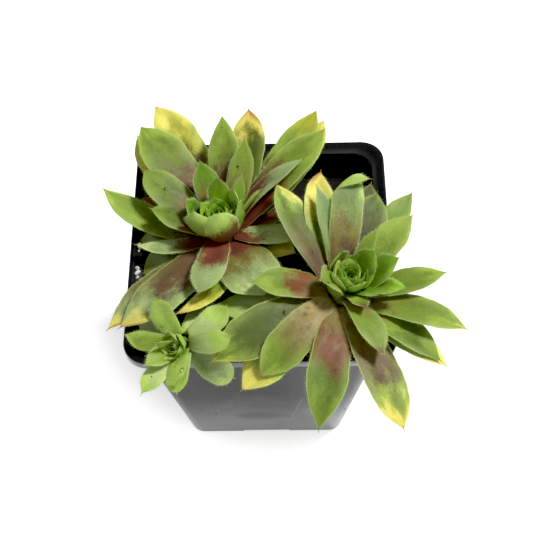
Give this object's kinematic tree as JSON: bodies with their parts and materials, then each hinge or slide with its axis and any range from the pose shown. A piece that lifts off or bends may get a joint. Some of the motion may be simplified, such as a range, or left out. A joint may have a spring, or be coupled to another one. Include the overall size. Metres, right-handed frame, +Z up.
{
  "type": "hens and chicks plant in a nursery pot",
  "caption": "Hens and chicks: open rosettes of pointed fleshy leaves and a small offset rosette, growing in potting soil in a square tapering nursery pot.",
  "frame": {"origin": "centre of the pot's base, on the surface it stands on", "axes": "+Z up along the pot's axis, +X to the right and +Y away, seen from the pot's front side, where the small rosette hangs over the left corner"},
  "size_m": [0.1218, 0.1191, 0.1132],
  "materials": {
    "pot_plastic": "satin",
    "soil": "matte",
    "leaf_left": "satin",
    "leaf_right": "satin",
    "leaf_chick": "satin"
  },
  "bodies": {
    "root": {"pot": "pot_plastic", "potting_soil": "soil", "hen_left": "leaf_left", "hen_right": "leaf_right", "chick": "leaf_chick"}
  },
  "joints": []
}
